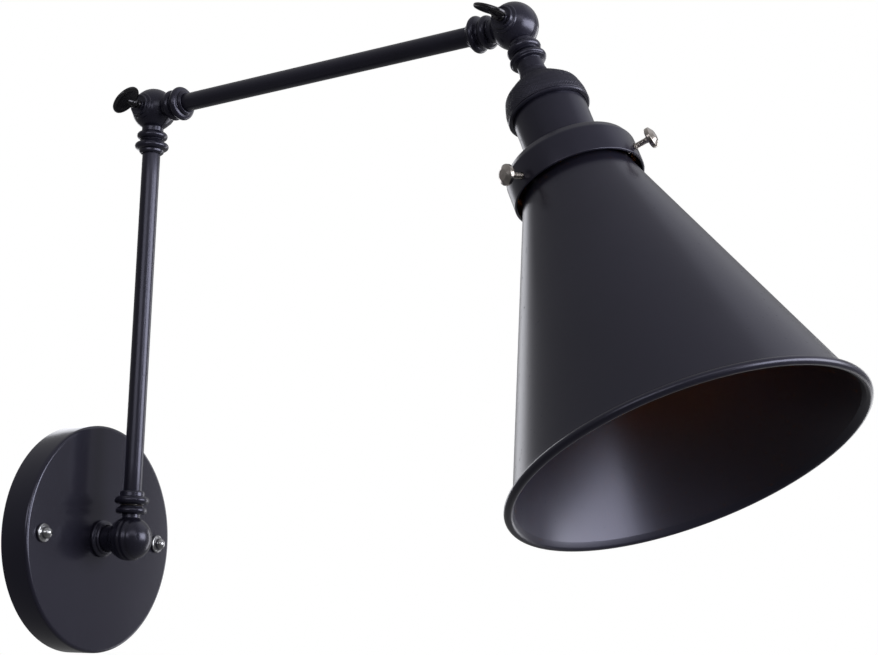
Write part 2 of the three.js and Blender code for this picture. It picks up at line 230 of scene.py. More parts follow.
def fibreSheet():
    sheet = Finish("grey_fibre")
    flock = sheet.noise(1800, detail=4)
    sheet.set(baseColor=sheet.mix(flock, (0.03, 0.022, 0.018), (0.06, 0.045, 0.038)),
              roughness=0.68 + flock * 0.2)
    sheet.bump(flock, 0.2, 0.0001)
    return sheet.material


def porcelainGlaze():
    glaze = Finish("porcelain_glaze", coatWeight=0.6, coatRoughness=0.08)
    cloud = glaze.noise(120, detail=4)
    glaze.set(baseColor=glaze.mix(cloud, (0.70, 0.66, 0.58), (0.83, 0.80, 0.74)),
              roughness=0.22 + cloud * 0.12)
    glaze.bump(cloud, 0.05, 0.0002)
    return glaze.material


def flexSheath():
    sheath = Finish("flex_sheath")
    grain = sheath.noise(1500, detail=3)
    sheath.set(baseColor=sheath.mix(grain, (0.008, 0.008, 0.009), (0.02, 0.02, 0.022)),
               roughness=0.5 + grain * 0.2)
    sheath.bump(grain, 0.15, 0.0001)
    return sheath.material


def clearBulbGlass():
    # thin blown glass: see-through with a gloss that grows towards the edge
    glass = Finish("bulb_glass", roughness=0.03, ior=1.46, specularLevel=0.6)
    edge = glass.node("LayerWeight", Blend=0.35, output=1)
    ripple = glass.noise(55, detail=2)
    glass.set(baseColor=glass.mix(ripple, (1.0, 0.86, 0.66), (1.0, 0.90, 0.74)))
    glass.set(alpha=0.10 + edge ** 2 * 0.55)
    glass.bump(ripple, 0.05, 0.0005)
    glass.material.surface_render_method = "BLENDED"
    return glass.material


filamentLook = dict(strength=300.0, low=(1.0, 0.30, 0.03), high=(1.0, 0.42, 0.08), body=(0.9, 0.5, 0.16))


def hotFilament():
    glow = Finish("hot_filament", emissionStrength=filamentLook["strength"], roughness=0.5)
    banding = glow.node("TexWave", {"bands_direction": "Z"}, Vector=glow.onPiece(), Scale=260, Distortion=0,
                        output=1)
    glow.set(baseColor=filamentLook["body"])
    glow.set(emissionColor=glow.mix(banding, filamentLook["low"], filamentLook["high"]))
    return glow.material


paint = satinBlackPaint("satin_black")
castPaint = satinBlackPaint("satin_black_cast",
                            dict(satinBlackLook, rough=0.22, peelScale=1200, cloudScale=30))
canopyPaint = satinBlackPaint("satin_black_canopy", dict(satinBlackLook, rough=0.17, roughSwing=0.04,
                                                         peelStrength=0.03, speckRough=0.03))
innerPaint = satinBlackPaint("satin_black_inside", dict(satinBlackLook, rough=0.32, roughSwing=0.06))
blackNickel = platedMetal("black_nickel", blackNickelLook)
nickel = platedMetal("smoked_nickel", nickelLook)
brightNickel = platedMetal("bright_nickel", brightLook)
zinc = platedMetal("zinc_plate", zincLook, (1, 1, 6))
brass = platedMetal("plain_brass", brassLook)
green = groundScrewGreen()
fibre = fibreSheet()
porcelain = porcelainGlaze()
sheathBlack = flexSheath()
bulbClear = clearBulbGlass()
filamentHot = hotFilament()
print("finishes made")


def softened(corners, arcSteps=6):
    # corners are (radius, height) or (radius, height, fillet); the closed or open outline comes back rounded
    points = []
    count = len(corners)
    for i, corner in enumerate(corners):
        here = Vector(corner[:2])
        fillet = corner[2] if len(corner) > 2 else 0
        if not fillet:
            points.append(here)
            continue
        before = (Vector(corners[i - 1][:2]) - here).normalized()
        after = (Vector(corners[(i + 1) % count][:2]) - here).normalized()
        half = before.angle(after) / 2
        middle = here + (before + after).normalized() * fillet / math.sin(half)
        start = here + before * fillet / math.tan(half) - middle
        end = here + after * fillet / math.tan(half) - middle
        sweep = start.angle_signed(end)
        for k in range(arcSteps + 1):
            points.append(middle + Matrix.Rotation(-sweep * k / arcSteps, 2) @ start)
    return points


def arcPoints(radius, height, size, low, high, steps):
    angles = [math.radians(low + (high - low) * k / steps) for k in range(steps + 1)]
    return [(radius + size * math.cos(a), height + size * math.sin(a)) for a in angles]


def dense(points, spacing):
    # the outline with no step longer than spacing
    filled = [points[0]]
    for before, after in zip(points, points[1:]):
        pieces = max(1, round((after - before).length / spacing))
        filled += [before.lerp(after, (k + 1) / pieces) for k in range(pieces)]
    return filled


def shapeOf(points, around=72, plan=None, relief=None):
    # a body turned about Z; plan bends the circle, relief(angle, travel, radius, height) lifts the surface
    shape = bmesh.new()
    loops = []
    travel = 0
    for i, point in enumerate(points):
        if i:
            travel += (point - points[i - 1]).length
        if point.x < 1e-6:
            loops.append([shape.verts.new((0, 0, point.y * mm))])
            continue
        loop = []
        for k in range(around):
            angle = 2 * math.pi * k / around
            radius = point.x + (relief(angle, travel, point.x, point.y) if relief else 0)
            wide, deep = plan(angle) if plan else (math.cos(angle), math.sin(angle))
            loop.append(shape.verts.new((radius * wide * mm, radius * deep * mm, point.y * mm)))
        loops.append(loop)
    closed = len(loops[0]) > 1
    pairs = list(zip(loops, loops[1:])) + ([(loops[-1], loops[0])] if closed else [])
    for low, high in pairs:
        for k in range(around):
            following = (k + 1) % around
            corners = [low[k % len(low)], low[following % len(low)], high[following % len(high)],
                       high[k % len(high)]]
            face = list(dict.fromkeys(corners))
            if len(face) > 2:
                shape.faces.new(face)
    bmesh.ops.recalc_face_normals(shape, faces=shape.faces)
    return shape


def pieceFrom(shape, name, place, sharp=32):
    mesh = bpy.data.meshes.new(name)
    shape.to_mesh(mesh)
    shape.free()
    piece = bpy.data.objects.new(name, mesh)
    bpy.context.scene.collection.objects.link(piece)
    mesh.transform(place)
    smooth(piece, sharp)
    return piece


def smooth(piece, sharp=32):
    piece.data.shade_smooth()
    piece.data.set_sharp_from_angle(angle=math.radians(sharp))


def turned(name, place, corners, around=72, arcSteps=6, spacing=None, plan=None, relief=None, sharp=32):
    points = [Vector(p[:2]) for p in corners] if arcSteps == 0 else softened(corners, arcSteps)
    if points[0].x > 1e-6 and spacing:
        points = dense(points + [points[0]], spacing)[:-1]
    elif spacing:
        points = dense(points, spacing)
    return pieceFrom(shapeOf(points, around, plan, relief), name, place, sharp)


def carve(piece, tool, operation="DIFFERENCE", keepTool=False):
    cut = piece.modifiers.new("cut", "BOOLEAN")
    cut.operation = operation
    cut.solver = "MANIFOLD"
    cut.object = tool
    graph = bpy.context.evaluated_depsgraph_get()
    result = bpy.data.meshes.new_from_object(piece.evaluated_get(graph))
    piece.modifiers.clear()
    piece.data = result
    if not keepTool:
        bpy.data.objects.remove(tool)
    return piece


def join(piece, tool):
    return carve(piece, tool, "UNION")


def dress(piece, finish, slotName, body, *nodes):
    piece.data.materials.clear()
    piece.data.materials.append(finish)
    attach(piece, body)
    if nodes:
        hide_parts(*nodes)
    return piece


def hexPlan(angle):
    # flat-sided plan for nuts: radius 1 at the middle of each flat
    nearest = (angle + math.pi / 6) % (math.pi / 3) - math.pi / 6
    size = 1 / math.cos(nearest)
    return size * math.cos(angle), size * math.sin(angle)


def threadRelief(pitch, depth, low, high):
    # a V thread between two heights, fading in and out over half a turn
    def relief(angle, travel, radius, height):
        if not low < height < high:
            return 0
        phase = (height / pitch - angle / (2 * math.pi)) % 1
        fade = min(1, (height - low) / pitch, (high - height) / pitch)
        return -depth * abs(2 * phase - 1) * fade
    return relief


canopySize = dict(radius=61.5, depth=17, wall=1.2, edge=2.0, lip=0.5, around=192)


def makeCanopy():
    size = canopySize
    outer, depth, wall = size["radius"], size["depth"], size["wall"]
    inner = outer - wall
    canopy = turned("canopy_shell", wallFrame, [
        (0, depth - wall), (inner, depth - wall, size["edge"] - wall * 0.5), (inner, 0, 0.3),
        (outer, 0, size["lip"]),
        (outer, depth, size["edge"]), (0, depth),
    ], size["around"], arcSteps=8)
    dress(canopy, canopyPaint, "satin_black", "wall_side", "canopy")


capScrewSize = dict(spread=49, shank=2, flange=4.9, flangeHeight=1.5, groove=3.3, dome=3.25, top=5.6)


def makeCapScrews():
    size = capScrewSize
    seat = canopySize["depth"] + 0.3
    for side, word in ((-1, "left"), (1, "right")):
        place = wallFrame @ Matrix.Translation((side * size["spread"] * mm, 0, 0))
        dome = arcPoints(0, seat + 2.2, size["dome"], 0, 90, 10)[:-1]
        screw = turned("cap_screw_" + word, place, [
            (0, 0.4), (size["shank"], 0.4, 0.3), (size["shank"], seat), (size["flange"], seat, 0.25),
            (size["flange"], seat + size["flangeHeight"], 0.6), (size["groove"] + 0.5, seat + 1.25),
            (size["groove"], seat + 1.6), *dome, (0, seat + 2.2 + size["dome"]),
        ], 64)
        dress(screw, brightNickel, "dark_nickel", "wall_side", "canopy_screw_" + word)


crossbarSize = dict(halfLength=54, halfHeight=10, chamfer=4, thickness=2, bevel=0.25, slotAt=34.9,
                    slotHalf=6,
                    slotRadius=2.4, centreHole=5.6, screwHole=2.3, groundAt=-18, groundHole=1.9)


def makeCrossbar():
    size = crossbarSize
    long, high, cut = size["halfLength"], size["halfHeight"], size["chamfer"]
    loops = [[(-long + cut, -high), (long - cut, -high), (long, -high + cut), (long, high - cut),
              (long - cut, high),
              (-long + cut, high), (-long, high - cut), (-long, -high + cut)]]

    def round(x, radius, low=0, sweep=360, steps=32):
        return [(x + px, py) for px, py in arcPoints(0, 0, radius, low, low + sweep, steps)]

    spread = capScrewSize["spread"]
    holes = ((0, size["centreHole"]), (-spread, size["screwHole"]), (spread, size["screwHole"]),
             (size["groundAt"], size["groundHole"]))
    loops += [round(x, radius)[:-1] for x, radius in holes]
    for side in (-1, 1):
        middle = side * size["slotAt"]
        shift = size["slotHalf"] - size["slotRadius"]
        rightEnd = round(middle + shift, size["slotRadius"], -90, 180, 14)
        leftEnd = round(middle - shift, size["slotRadius"], 90, 180, 14)
        loops.append(rightEnd + leftEnd)
    drawing = bpy.data.curves.new("crossbar_drawing", "CURVE")
    drawing.dimensions = "2D"
    drawing.fill_mode = "BOTH"
    drawing.extrude = (size["thickness"] / 2 - size["bevel"]) * mm
    drawing.bevel_depth = size["bevel"] * mm
    drawing.bevel_resolution = 2
    drawing.offset = -size["bevel"] * mm
    for loop in loops:
        spline = drawing.splines.new("POLY")
        spline.points.add(len(loop) - 1)
        for point, (x, y) in zip(spline.points, loop):
            point.co = (x * mm, y * mm, 0, 1)
        spline.use_cyclic_u = True
    holder = bpy.data.objects.new("crossbar_drawing", drawing)
    bpy.context.scene.collection.objects.link(holder)
    graph = bpy.context.evaluated_depsgraph_get()
    mesh = bpy.data.meshes.new_from_object(holder.evaluated_get(graph))
    bpy.data.objects.remove(holder)
    bar = bpy.data.objects.new("crossbar", mesh)
    bpy.context.scene.collection.objects.link(bar)
    bmeshBar = bmesh.new()
    bmeshBar.from_mesh(mesh)
    bmesh.ops.remove_doubles(bmeshBar, verts=bmeshBar.verts, dist=1e-6)
    bmeshBar.to_mesh(mesh)
    bmeshBar.free()
    mesh.transform(wallFrame @ Matrix.Translation((0, 0, size["thickness"] / 2 * mm)))
    smooth(bar)
    dress(bar, zinc, "zinc_steel", "wall_side", "wall_crossbar")


groundScrewSize = dict(head=3.4, seat=2.3, top=4.7, shank=1.5, slotWidth=0.8, slotDepth=1.1)


def makeGroundScrew():
    size = groundScrewSize
    place = wallFrame @ Matrix.Translation((crossbarSize["groundAt"] * mm, 0, 0))
    screw = turned("ground_screw_head", place, [
        (0, 0.4), (size["shank"], 0.4, 0.2), (size["shank"], size["seat"]),
        (size["head"], size["seat"], 0.2),
        (size["head"], size["top"], 1.2), (0, size["top"] + 0.1),
    ], 48)
    slot = bmesh.new()
    bmesh.ops.create_cube(slot, size=1)
    bmesh.ops.scale(slot, vec=(size["slotWidth"] * mm, 9 * mm, 2 * size["slotDepth"] * mm),
                    verts=slot.verts)
    onHead = Matrix.Translation((0, 0, size["top"] * mm))
    tool = pieceFrom(slot, "slot_tool", place @ onHead @ Matrix.Rotation(0.6, 4, "Z"))
    carve(screw, tool)
    smooth(screw)
    dress(screw, green, "ground_green", "wall_side", "ground_screw")


nippleSize = dict(outer=5, bore=3.2, low=8, high=24.4, pitch=1.0, threadDepth=0.45)
nippleNutSize = dict(halfFlats=7, bore=5.3, low=11.6, high=14.4)


def makeNipple():
    size = nippleSize
    thread = threadRelief(size["pitch"], size["threadDepth"], size["low"], size["high"])
    nipple = turned("nipple_thread", wallFrame, [
        (size["bore"], size["low"]), (size["outer"], size["low"], 0.3), (size["outer"], size["high"]),
        (size["bore"], size["high"]),
    ], 48, spacing=0.25, relief=lambda a, t, r, h: thread(a, t, r, h) if r > 4.6 else 0, sharp=60)
    dress(nipple, zinc, "zinc_steel", "wall_side", "mounting_nipple")
    nutSize = nippleNutSize
    half, low, high = nutSize["halfFlats"], nutSize["low"], nutSize["high"]
    nut = turned("nipple_hex_nut", wallFrame, [
        (nutSize["bore"], low, 0.2), (half, low, 0.35), (half, high, 0.35), (nutSize["bore"], high, 0.2),
    ], 72, plan=None, arcSteps=3)
    nut = hexed(nut, wallFrame, half, low, high)
    dress(nut, zinc, "zinc_steel", "wall_side", "nipple_nut")
    washer = turned("nipple_tooth_washer", wallFrame, [
        (5.4, 14.7, 0.15), (9, 14.7, 0.2), (9, 15.5, 0.2), (5.4, 15.5, 0.15),
    ], 72, arcSteps=3)
    dress(washer, zinc, "zinc_steel", "wall_side", "nipple_washer")


def hexed(nut, place, half, low, high):
    # trims a round blank, made wide enough for the corners, to six flats
    outline = [(0, low - 1), (half, low - 1), (half, high + 3), (0, high + 3)]
    blank = turned("hex_blank", place, outline, 60, arcSteps=0, plan=hexPlan)
    corner = half / math.cos(math.pi / 6)
    stretch = place @ Matrix.Diagonal((corner / half, corner / half, 1, 1)) @ place.inverted()
    nut.data.transform(stretch)
    carve(nut, blank, "INTERSECT")
    smooth(nut)
    return nut


collarSize = dict(bore=7.3, flange=10.2, step=8.9, foot=17.3)


def makeBaseCollar():
    size = collarSize
    foot = size["foot"]
    collar = turned("turned_collar", wallFrame, [
        (size["bore"], foot), (size["flange"] - 0.3, foot, 0.3), (size["flange"], foot + 1.4, 0.7),
        (size["step"] - 0.5, foot + 2.3, 0.3), (size["step"], foot + 3.3, 0.7), (8, foot + 4.0, 0.3),
        (size["bore"], foot + 4.1, 0.2),
    ], 96, arcSteps=5)
    dress(collar, castPaint, "satin_black", "wall_side", "base_collar")


ballSize = dict(radius=12, around=112, neckEnd=18, baseNeckEnd=17.3, ring=8.5, split=0.15, hover=0.45,
                bore=2.15,
                ridges=5, ridgeHeight=0.3, ridgeSpan=(-30, 50))
bossSize = dict(skirt=7.3, skirtReach=10.5, disc=5.9, farReach=11.2, reach=12.6, lipWidth=0.9,
                lipDepth=0.35)


def neckedBall(neck, end, fillet, ringHalf):
    # outline of a ball with a coaxial ringed neck, from the ball's far pole to the end face
    size = ballSize
    radius = size["radius"]
    # the fillet sits outside both the ball and the neck
    across = neck + fillet
    lift = math.sqrt((radius + fillet) ** 2 - across ** 2)
    touch = math.degrees(math.atan2(lift, across))
    ballArc = arcPoints(0, 0, radius, -90, touch, 40)[1:]
    filletArc = arcPoints(across, lift, fillet, 180 + touch, 180, 5)[1:]
    middle = end - 0.5 - ringHalf
    ringArc = arcPoints(size["ring"] - ringHalf, middle, ringHalf, -78, 76, 14)
    points = [(0, -radius), *ballArc, *filletArc, (neck, middle - ringHalf - 0.3),
              (neck + 0.3, middle - ringHalf),
              *ringArc, (6.7, end - 0.4), (6.75, end - 0.1), (6.6, end), (0, end)]
    return [Vector(p) for p in points]


def ridged(points, size):
    # shallow turned ridges round the ball, up to the side that faces the wall
    low, high = size["ridgeSpan"]
    for i, point in enumerate(points):
        lean = math.degrees(math.atan2(point.y, point.x))
        if low < lean < high and abs(point.length - size["radius"]) < 0.05:
            swell = 0.5 + 0.5 * math.cos(2 * math.pi * (lean - low) / (high - low) * size["ridges"])
            points[i] = point * (1 - size["ridgeHeight"] * (1 - swell) / size["radius"])
    return points


def makeBaseBall():
    size = ballSize
    piece = pieceFrom(shapeOf(neckedBall(4.9, size["baseNeckEnd"], 0.8, 1.8), size["around"]),
                      "base_ball_cast", baseFrame)
    toWall = axesAt(baseCentre, (0, 1, 0), (1, 0, 0))
    ball = [Vector(p) for p in [(0, -size["radius"]), *arcPoints(0, 0, size["radius"], -90, 54, 150)[1:]]]
    sideEnd = -baseCentre.y / mm - canopySize["depth"] - 0.3
    outline = ridged(ball, size) + [Vector(p) for p in ((7, 10.0), (7, sideEnd - 0.3), (6.7, sideEnd),
                                                        (0, sideEnd))]
    body = pieceFrom(shapeOf(outline, size["around"]), "ridged_ball", toWall)
    above = turned("neck_keep", baseFrame, [(0, 9.6), (14, 9.6), (14, 24), (0, 24)], 64, arcSteps=0)
    carve(piece, above, "INTERSECT")
    join(piece, body)
    carve(piece, turned("side_bore", toWall, [(0, 11), (5.3, 11), (5.3, sideEnd + 1), (0, sideEnd + 1)], 48,
                        arcSteps=0))
    smooth(piece)
    dress(piece, castPaint, "satin_black", "wall_side", "base_ball")


def makeBoss(piece, turnedPlace, reach):
    # a skirt, a step and a disc with a raised lip, stacked along the pivot
    size = bossSize
    disc, lip = size["disc"], size["lipWidth"]
    boss = turned("boss", turnedPlace, [
        (0, 6), (size["skirt"], 6), (size["skirt"], size["skirtReach"] - 0.1, 0.6),
        (disc + 0.5, size["skirtReach"] + 0.25, 0.2),
        (disc, size["skirtReach"] + 0.4, 0.2), (disc, reach, 0.5), (disc - lip, reach, 0.2),
        (disc - lip - 0.2, reach - size["lipDepth"], 0.15), (3.3, reach - size["lipDepth"], 0.1),
        (3.1, reach, 0.1), (0, reach),
    ], 80, arcSteps=4)
    join(piece, boss)


def makeKnuckleHalf(name, place, side, body, node):
    # side is -1 or 1 along the pivot: the half ball, its whole neck and its boss
    size = ballSize
    reach = bossSize["reach"] if side < 0 else bossSize["farReach"]
    outwards = place @ Matrix.Rotation(side * math.pi / 2, 4, "Y")
    piece = pieceFrom(shapeOf(neckedBall(6.0, size["neckEnd"], 0.7, 2.2), size["around"]), name, place)
    hollow = turned("hover_tool", place, [
        (0, -size["radius"] - size["hover"]),
        *arcPoints(0, 0, size["radius"] + size["hover"], -90, 90, 48)[1:-1],
        (0, size["radius"] + size["hover"]),
    ], size["around"], arcSteps=0)
    keepSide = bmesh.new()
    bmesh.ops.create_cube(keepSide, size=60 * mm)
    keep = pieceFrom(keepSide, "side_tool",
                     place @ Matrix.Translation((side * (30 + size["split"]) * mm, 0, 0)))
    carve(hollow, keep)
    carve(piece, hollow)
    makeBoss(piece, outwards, reach)
    carve(piece, turned("facing", outwards, [(0, reach), (4.4, reach), (4.4, reach + 4), (0, reach + 4)],
                        48, arcSteps=0))
    carve(piece, turned("pivot_bore", outwards, [(0, -1), (size["bore"], -1), (size["bore"], 16), (0, 16)],
                        32, arcSteps=0))
    smooth(piece, 38)
    dress(piece, castPaint, "satin_black", body, node)


wingSize = dict(centre=22.2, halfLength=9.2, halfWidth=6.5, thick=0.95, dish=0.3, shank=2.0, pitch=0.7,
                threadDepth=0.34,
                collar=2.7, collarLow=14.3, innerEnd=-13.0)
wingAngles = dict(elbow=49, head=110)  # the plate's long axis from straight up, towards the front


def wingPlan(angle):
    # pointed oval: full in the middle, drawn to a soft point at both ends
    point = abs(math.cos(angle)) ** 1.12 * (1 if math.cos(angle) > 0 else -1)
    belly = math.sin(angle) * (1 + 0.06 * math.cos(angle) ** 2)
    return point * wingSize["halfLength"] / wingSize["halfWidth"], belly


def makeWingScrew(name, pivotFrame, plateAngle, body, *nodes):
    size = wingSize
    half, thick = size["halfWidth"], size["thick"]
    # pivotFrame has Z along the shank and out to the wing, X up at rest
    plateFrame = pivotFrame @ Matrix.Translation((0, 0, size["centre"] * mm))
    plateFrame = plateFrame @ Matrix.Rotation(-plateAngle, 4, "Z") @ Matrix.Rotation(math.pi / 2, 4, "X")
    dished = thick - size["dish"]
    outline = [Vector(p) for p in ((0, -dished), (half * 0.45, -dished),
                                   (half * 0.72, -dished - size["dish"] * 0.5),
               (half * 0.84, -thick), (half * 0.93, -thick * 0.93), (half * 0.985, -thick * 0.6), (half, 0),
               (half * 0.985, thick * 0.6), (half * 0.93, thick * 0.93), (half * 0.84, thick),
               (half * 0.72, dished + size["dish"] * 0.5), (half * 0.45, dished), (0, dished))]
    wing = pieceFrom(shapeOf(outline, 96, plan=wingPlan), name, plateFrame, 50)
    thread = threadRelief(size["pitch"], size["threadDepth"], 10.5, 15.5)
    shank = turned("shank", pivotFrame, [
        (0, size["innerEnd"]), (size["shank"], size["innerEnd"], 0.4),
        (size["shank"], size["centre"] - 3.6), (0, size["centre"] - 3.2),
    ], 32, spacing=0.14, arcSteps=3, relief=thread, sharp=70)
    collar, low = size["collar"], size["collarLow"]
    root = turned("root", pivotFrame, [
        (0, low), (collar - 0.3, low, 0.2), (collar, low + 0.5, 0.2), (collar, low + 2.2, 0.3),
        (collar - 0.5, low + 2.9, 0.3),
        (collar - 0.9, size["centre"] - 3.2, 0.8), (1.1, size["centre"] - 0.9, 0.5),
        (0, size["centre"] - 0.7),
    ], 48, arcSteps=5)
    join(wing, shank)
    join(wing, root)
    smooth(wing, 40)
    dress(wing, blackNickel, "dark_nickel", body, *nodes)


pivotNutSize = dict(halfFlats=3.8, seat=11.5, flat=1.9, dome=3.1, top=3.2)


def makePivotNut(name, place, body, node):
    size = pivotNutSize
    half, seat = size["halfFlats"], size["seat"]
    nut = turned(name, place, [
        (0, seat), (half, seat, 0.3), (half, seat + size["flat"], 0.45),
        (size["dome"], seat + size["flat"] + 0.15),
        (size["dome"] * 0.9, seat + size["top"] - 0.35, 0.5), (0, seat + size["top"]),
    ], 72, arcSteps=5)
    hexed(nut, place, half, seat, seat + size["flat"])
    dress(nut, blackNickel, "dark_nickel", body, node)


thumbSize = dict(tip=27.2, shank=1.45, pitch=0.7, threadDepth=0.26, shoulder=38.2, head=5.0, headLow=38.8,
                 headHigh=41.4, crown=42.6)


def makeThumbscrews():
    size = thumbSize
    thread = threadRelief(size["pitch"], size["threadDepth"], size["tip"] + 1, size["shoulder"] - 0.4)
    for number in (1, 2, 3):
        turn = "shade_screw_%d_turn" % number
        place = axesAt(jointPlace(turn), jointAxis(turn), shadeAxis)
        shoulder, low, high = size["shoulder"], size["headLow"], size["headHigh"]
        screw = turned("shade_thumbscrew_%d" % number, place, [
            (0, size["tip"]), (size["shank"], size["tip"], 0.35), (size["shank"], shoulder),
            (2.1, shoulder + 0.5, 0.3),
            (2.3, low), (size["head"] - 0.4, low, 0.3), (size["head"], low + 0.5, 0.4),
            (size["head"], high - 0.5, 0.5),
            (size["head"] - 0.9, high, 0.4), (2.6, size["crown"] - 0.3, 1.0), (0, size["crown"]),
        ], 64, spacing=0.16, relief=thread, sharp=48)
        dress(screw, nickel, "nickel", "shade_screw_%d" % number, "thumbscrew_%d" % number)


ferruleSize = dict(leadBore=3.6, bore=5.15, start=18.3, ring=9.4, ringHalf=2.0, end=25.6, lip=6.7,
                   tubeStop=20.1,
                   baseRingAt=20.5, ringAt=21.3)
tubeSize = dict(outer=5, bore=4.3, seat=20.3)


def makeFerrule(name, place, ringAt, body, node):
    size = ferruleSize
    start, half, lip, end = size["start"], size["ringHalf"], size["lip"], size["end"]
    ringArc = arcPoints(size["ring"] - half, ringAt, half, -78, 74, 14)
    corners = [(size["leadBore"], start), (lip, start, 0.15), (lip + 0.1, start + 0.4, 0.1), *ringArc,
               (lip + 0.35, ringAt + half + 0.15, 0.1),
               (lip + 0.1, ringAt + half + 0.3, 0.1), (lip + 0.1, end - 0.9, 0.4), (lip - 0.75, end, 0.4),
               (size["bore"], end, 0.1),
               (size["bore"], size["tubeStop"]), (size["leadBore"], size["tubeStop"])]
    dress(turned(name, place, corners, 96, arcSteps=4), castPaint, "satin_black", body, node)


def makeTube(name, place, body, node):
    size = tubeSize
    low, high = size["seat"], armSpan - size["seat"]
    tube = turned(name, place, [
        (size["bore"], low), (size["outer"], low, 0.2), (size["outer"], high, 0.2), (size["bore"], high),
    ], 80, arcSteps=3, spacing=20)
    dress(tube, paint, "satin_black", body, node)


neckSize = dict(bore=3, start=18.3, ring=9.2, ringHalf=1.5, foot=23.5, pipe=6.5, end=29.4)


def makeHeadNeck():
    size = neckSize
    ringMiddle = 21.5
    ringArc = arcPoints(size["ring"] - size["ringHalf"], ringMiddle, size["ringHalf"], -62, 60, 10)
    neck = turned("ringed_neck", headFrame, [
        (size["bore"], size["start"]), (6.3, size["start"], 0.15), (7.4, size["start"] + 0.9, 0.6),
        *ringArc,
        (8.3, size["foot"] - 0.2, 0.3), (size["pipe"], size["foot"] + 0.1, 0.3),
        (size["pipe"], size["end"], 0.1), (size["bore"], size["end"]),
    ], 96, arcSteps=4)
    dress(neck, castPaint, "satin_black", "head", "head_neck")


capSize = dict(top=29.7, end=54.6, radius=20.2, bore=18.3, diamonds=88, depth=0.62, around=480,
               pitchRadius=18, clearTop=3, clearEnd=1.8, topFade=4, endFade=0.5)


def knurl(angle, travel, radius, height):
    # crossed grooves leave small pyramids; the pattern fades at the neck and at the lip
    size = capSize
    inside = travel > size["outsideTravel"]
    if inside or travel < size["clearTop"] or height > size["end"] - size["clearEnd"]:
        return 0
    pitch = 2 * math.pi * size["pitchRadius"] / size["diamonds"]
    first = (angle * size["diamonds"] / (2 * math.pi) + travel / pitch) % 1
    second = (angle * size["diamonds"] / (2 * math.pi) - travel / pitch) % 1
    lift = min(min(first, 1 - first), min(second, 1 - second)) * 4 - 1
    fromTop = (travel - size["clearTop"]) / size["topFade"]
    fromEnd = (size["end"] - size["clearEnd"] - height) / size["endFade"]
    fade = min(1, fromTop, fromEnd)
    return size["depth"] * lift * fade * 0.5


def makeSocketCap():
    size = capSize
    top, end, wide = size["top"], size["end"], size["radius"]
    outside = [(6.85, top), (7.0, top + 3, 3), (12.4, top + 7.0, 6), (18.2, top + 12.6, 6),
               (wide - 0.2, top + 19.5, 9),
               (wide - 0.2, end - 1.7, 0.2), (wide - 0.55, end - 1.5, 0.1), (wide - 0.55, end - 1.25, 0.1),
               (wide, end - 1.05, 0.1),
               (wide, end - 0.5, 0.2), (wide - 0.5, end, 0.2)]
    inside = [(size["bore"], end), (size["bore"], top + 16.6), (12, top + 9.6), (8, top + 6.6),
              (3.4, top + 4.8)]
    rounded = softened([(3.4, top), *outside, *inside], 8)
    split = max(i for i, p in enumerate(rounded) if p.y > end - 0.001)
    skin = dense(rounded[1:split], 0.28)
    size["outsideTravel"] = sum((b - a).length for a, b in zip(skin, skin[1:])) + 3.0
    shape = shapeOf([rounded[0], *skin, *rounded[split:]], size["around"], relief=knurl)
    cap = pieceFrom(shape, "knurled_socket_cap", headFrame, 80)
    dress(cap, castPaint, "satin_black", "head", "socket_cap")


shellSize = dict(radius=18, wall=0.9, low=46.8, high=86)


def makeSocketShell():
    size = shellSize
    outer, inner = size["radius"], size["radius"] - size["wall"]
    shell = turned("socket_sleeve", headFrame, [
        (inner, size["low"]), (outer, size["low"], 0.2), (outer, size["high"], 0.3), (inner, size["high"]),
    ], 128, arcSteps=4, spacing=8)
    dress(shell, paint, "satin_black", "head", "socket_shell")


gallerySize = dict(radius=31.7, wall=1.2, top=79, shoulder=3.2, end=98.9, bore=18.3, shoulderRise=3.2)


def makeGallery():
    size = gallerySize
    radius, wall, top, end = size["radius"], size["wall"], size["top"], size["end"]
    gallery = turned("shade_gallery", headFrame, [
        (size["bore"], top, 0.2), (22.5, top + 0.25, 3), (radius - 1.9, top + size["shoulderRise"], 2.2),
        (radius, top + size["shoulderRise"] + 3.4, 3.0), (radius, end, 0.5), (radius - wall, end, 0.4),
        (radius - wall, top + 7, 2.5),
        (radius - wall - 2.4, top + 4.6, 1.2), (size["bore"], top + wall + 0.2),
    ], 160, arcSteps=6)
    for number in (1, 2, 3):
        turn = "shade_screw_%d_turn" % number
        place = axesAt(jointPlace(turn), jointAxis(turn), shadeAxis)
        carve(gallery, turned("screw_hole", place, [(0, 26), (1.8, 26), (1.8, 36), (0, 36)], 32,
                              arcSteps=0))
    smooth(gallery)
    dress(gallery, paint, "satin_black", "head", "gallery")
    lock = turned("gallery_lock_ring", headFrame, [
        (18.35, 81.9, 0.2), (22.5, 81.9, 0.3), (22.5, 84.6, 0.4), (18.35, 84.6, 0.2),
    ], 96, arcSteps=3)
    dress(lock, zinc, "zinc_steel", "head", "gallery_ring")


shadeSize = dict(neck=26.8, start=86, coneStart=96, mouth=242, mouthRadius=81, bead=2.0, wall=0.8,
                 around=256)


